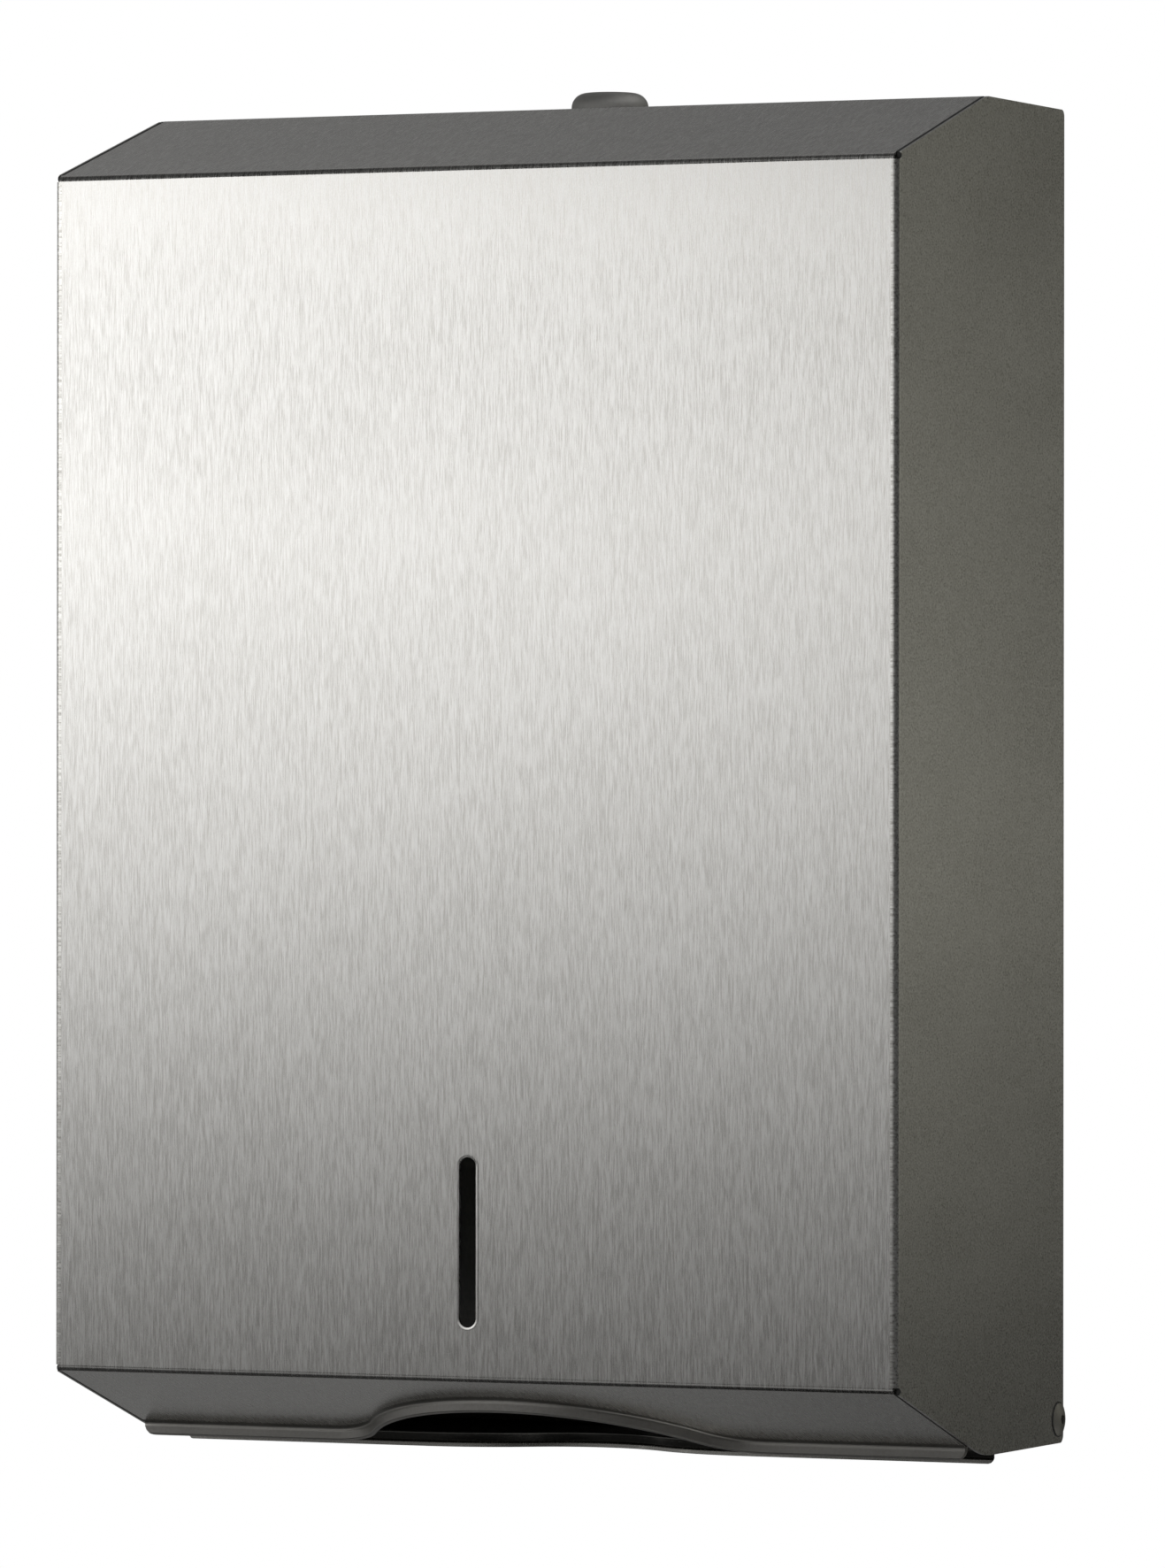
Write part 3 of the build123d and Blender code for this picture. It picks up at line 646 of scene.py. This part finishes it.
def make_threads():
    """Thread on the lock's barrel, cut flat on two sides, and threads on the keeper's studs."""
    barrel = make_thread("lock_barrel_thread", BARREL_RADIUS, height=0.3, pitch=1.0, turns=10, axis="Z")
    for side in SIDES:
        cut((side * BARREL_CUT, 0, 0), (side, 0, 0))
    bpy.ops.mesh.select_all(action="SELECT")
    bpy.ops.transform.translate(value=Vector((0, LOCK_Y, BARREL_THREAD_Z)) * MM)
    leave_mesh(30)
    finish_piece(barrel, satin_rosette, "cover")

    stud = make_thread("keeper_stud_threads", STUD_RADIUS, height=0.12, pitch=0.7, turns=3, axis="Y")
    leave_mesh(30)
    spread_copies(stud, [moved(x, STUD_THREAD_Y, z) for x, z in STUD_PLACES])
    finish_piece(stud, bright_zinc, "back")


make_lip_bead()
make_tray_hem()
make_slot_rim()
make_seam_painted_shade()
make_corner_shade_dabs()
make_rivet_shade_rings()
make_weld_stitches()
make_spot_welds()
make_threads()

# Level direction in which the camera looks
away = Vector((-math.sin(CAMERA_YAW), math.cos(CAMERA_YAW), 0.0))


def even(level):
    """The same level all along a card."""
    return ((0.0, level), (1.0, level))


def card(name, start, direction, distance, size, rows, columns=even(1.0), tint=(1, 1, 1)):
    """Flat studio card that only reflections see, lit in rows from its bottom up and in columns across."""
    bpy.ops.mesh.primitive_plane_add(size=1.0)
    plane = bpy.context.object
    plane.name = name
    towards = Vector(direction).normalized()
    plane.scale = size + (1.0,)
    plane.rotation_mode = "QUATERNION"
    plane.rotation_quaternion = (-towards).to_track_quat("Z", "Y")
    plane.location = Vector(start) * MM + towards * distance
    material, tree = new_material(name)
    place = add_node(tree, "ShaderNodeTexCoord")
    axes = add_node(tree, "ShaderNodeSeparateXYZ", Vector=place.outputs["Generated"])
    stops = [(at, tuple(level / CARD_STRENGTH * part for part in tint) + (1.0,)) for at, level in rows]
    upward = ramp(tree, axes.outputs["Y"], stops)
    across = ramp(tree, axes.outputs["X"], [(at, (level, level, level, 1.0)) for at, level in columns])
    tone = add_node(
        tree,
        "ShaderNodeVectorMath",
        {"operation": "MULTIPLY"},
        _0=upward.outputs["Color"],
        _1=across.outputs["Color"],
    )
    glow = add_node(tree, "ShaderNodeEmission", Color=tone.outputs["Vector"], Strength=CARD_STRENGTH)
    add_node(tree, "ShaderNodeOutputMaterial", Surface=glow.outputs["Emission"])
    plane.data.materials.append(material)
    plane.visible_camera = False
    plane.visible_diffuse = False
    plane.visible_shadow = False
    plane.visible_transmission = False
    bpy.ops.object.select_all(action="DESELECT")


# What the sheet mirrors: a soft box at the front left, dark flags round it, and grey cards behind.
# Rows and columns are (place along the card, light level), balanced by comparing renders with the photograph
card(
    "front_softbox", (0, FRONT_Y, 0), (away.x, -away.y, 0), distance=0.55, size=(1.1, 0.95),
    rows=(
        (0.0, 0.5), (0.11, 0.28), (0.19, 0.03), (0.24, 0.03), (0.275, 0.325), (0.32, 0.505), (0.353, 0.685),
        (0.387, 0.905), (0.42, 1.22), (0.454, 1.4), (0.488, 1.77), (0.522, 1.95), (0.556, 2.18), (0.59, 2.62),
        (0.623, 2.25), (0.66, 2.1), (0.7, 2.6), (0.735, 3.9), (0.768, 0.06),
    ),
    columns=((0.0, 0.17), (1.0, 1.0)),
)
card(
    "upper_dark_flag", (0, FRONT_Y, 170), (away.x, -0.08, 0.91), distance=0.6, size=(1.5, 1.7),
    rows=even(0.3), columns=((0.58, 0.16), (0.8, 1.0)),
)
card(
    "lower_dark_flag", (0, FRONT_Y - 250, -170), (away.x, -0.08, -0.91), distance=0.6, size=(1.9, 2.2),
    rows=((0.4, 0.006), (0.5, 0.035)), columns=((0.2, 11.0), (0.36, 7.0), (0.47, 1.0)),
)
card(
    "right_dark_flag", (130, FRONT_Y, 0), (0.985, -0.174, 0), distance=0.6, size=(1.7, 1.2), rows=even(0.05)
)
card("left_dark_flag", (-130, 135, 0), (-1, 0, 0), distance=0.62, size=(0.95, 1.2), rows=even(0.3))
card(
    "front_right_flag", (0, FRONT_Y, 0), (0.37, -0.93, 0), distance=0.95, size=(0.6, 1.2), rows=even(0.05)
)
card(
    "rear_right_card", (132, -70, 0), (-away.x, away.y, 0), distance=0.7, size=(1.3, 1.3),
    rows=(
        (0.3, 0.075), (0.334, 0.112), (0.36, 0.18), (0.386, 0.245), (0.413, 0.275), (0.439, 0.32),
        (0.465, 0.41), (0.49, 0.42), (0.57, 0.375), (0.62, 0.325), (0.675, 0.275), (0.75, 0.245),
    ),
    columns=((0.13, 2.2), (0.28, 0.0), (0.42, 0.0), (0.58, 1.0), (0.78, 1.0), (0.9, 2.4)),
    tint=(1.0, 0.99, 0.87),
)
card(
    "rear_top_card", (0, -100, 185), (-0.41, 0.8, 0.446), distance=0.8, size=(1.7, 0.9),
    rows=even(0.31), columns=((0.0, 1.0), (1.0, 0.2)),
)
card(
    "rear_low_card", (0, -100, -185), (-0.41, 0.777, -0.483), distance=0.8, size=(1.7, 0.9),
    rows=even(0.19), columns=((0.38, 1.0), (0.5, 0.9), (0.62, 0.45)),
)


def make_floor():
    """Pale floor a wall height below the dispenser, which fades to white far out."""
    bpy.ops.mesh.primitive_circle_add(
        vertices=96, radius=FLOOR_RADIUS, fill_type="NGON", location=(0, 0, FLOOR_Z)
    )
    floor = bpy.context.object
    floor.name = "pale_floor"
    material, tree = new_material("pale_floor")
    place = add_node(tree, "ShaderNodeTexCoord")
    reach = add_node(tree, "ShaderNodeVectorMath", {"operation": "LENGTH"}, _0=place.outputs["Object"])
    near, far = FLOOR_FADE
    fade = add_node(
        tree,
        "ShaderNodeMapRange",
        Value=reach.outputs["Value"],
        From_Min=near,
        From_Max=far,
        To_Min=0.0,
        To_Max=1.0,
    )
    matt = add_node(tree, "ShaderNodeBsdfDiffuse", Color=linear("#f1f0ee"))
    white = add_node(tree, "ShaderNodeEmission", Color=(1.0, 1.0, 1.0, 1.0), Strength=1.0)
    both = add_node(
        tree,
        "ShaderNodeMixShader",
        Fac=fade.outputs["Result"],
        _1=matt.outputs["BSDF"],
        _2=white.outputs["Emission"],
    )
    add_node(tree, "ShaderNodeOutputMaterial", Surface=both.outputs["Shader"])
    floor.data.materials.append(material)
    bpy.ops.object.select_all(action="DESELECT")


def light_room():
    """Surroundings that look white but light the dispenser more softly, and two soft lamps."""
    world = bpy.data.worlds.new("white_studio")
    bpy.context.scene.world = world
    world.use_nodes = True
    tree = world.node_tree
    tree.nodes.clear()
    path = add_node(tree, "ShaderNodeLightPath")
    seen = path.outputs["Is Camera Ray"]
    for ray in ("Is Glossy Ray", "Is Transmission Ray"):
        either = add_node(tree, "ShaderNodeMath", {"operation": "MAXIMUM"}, _0=seen, _1=path.outputs[ray])
        seen = either.outputs[0]
    level = add_node(tree, "ShaderNodeMapRange", Value=seen, To_Min=ROOM_LIGHT, To_Max=1.0)
    sky = add_node(
        tree, "ShaderNodeBackground", Color=(1.0, 1.0, 1.0, 1.0), Strength=level.outputs["Result"]
    )
    add_node(tree, "ShaderNodeOutputWorld", Surface=sky.outputs["Background"])

    for name, place, power, size in (
        ("key_lamp", (-1.4, -1.8, 1.5), 40.0, 1.4),
        ("fill_lamp", (1.8, -1.0, 0.8), 15.0, 1.6),
    ):
        light = bpy.data.lights.new(name, "AREA")
        light.energy = power
        light.size = size
        lamp = bpy.data.objects.new(name, light)
        bpy.context.scene.collection.objects.link(lamp)
        lamp.location = place
        lamp.rotation_euler = (-Vector(place)).to_track_quat("-Z", "Y").to_euler()
        lamp.visible_glossy = False


def make_camera():
    """Camera at the photograph's viewing angle."""
    data = bpy.data.cameras.new("camera")
    data.lens = CAMERA_LENS
    data.sensor_width = 36.0
    data.sensor_fit = "AUTO"
    data.clip_start = 0.05
    data.clip_end = 100.0
    camera = bpy.data.objects.new("camera", data)
    bpy.context.scene.collection.objects.link(camera)
    level = math.cos(CAMERA_PITCH)
    look = Vector((away.x * level, away.y * level, math.sin(CAMERA_PITCH)))
    turn = look.to_track_quat("-Z", "Y").to_matrix() @ Matrix.Rotation(CAMERA_ROLL, 3, "Z")
    camera.rotation_mode = "QUATERNION"
    camera.rotation_quaternion = turn.to_quaternion()
    camera.location = CAMERA_PLACE
    bpy.context.scene.camera = camera


make_floor()
light_room()
make_camera()
bpy.context.scene.view_settings.view_transform = "Standard"
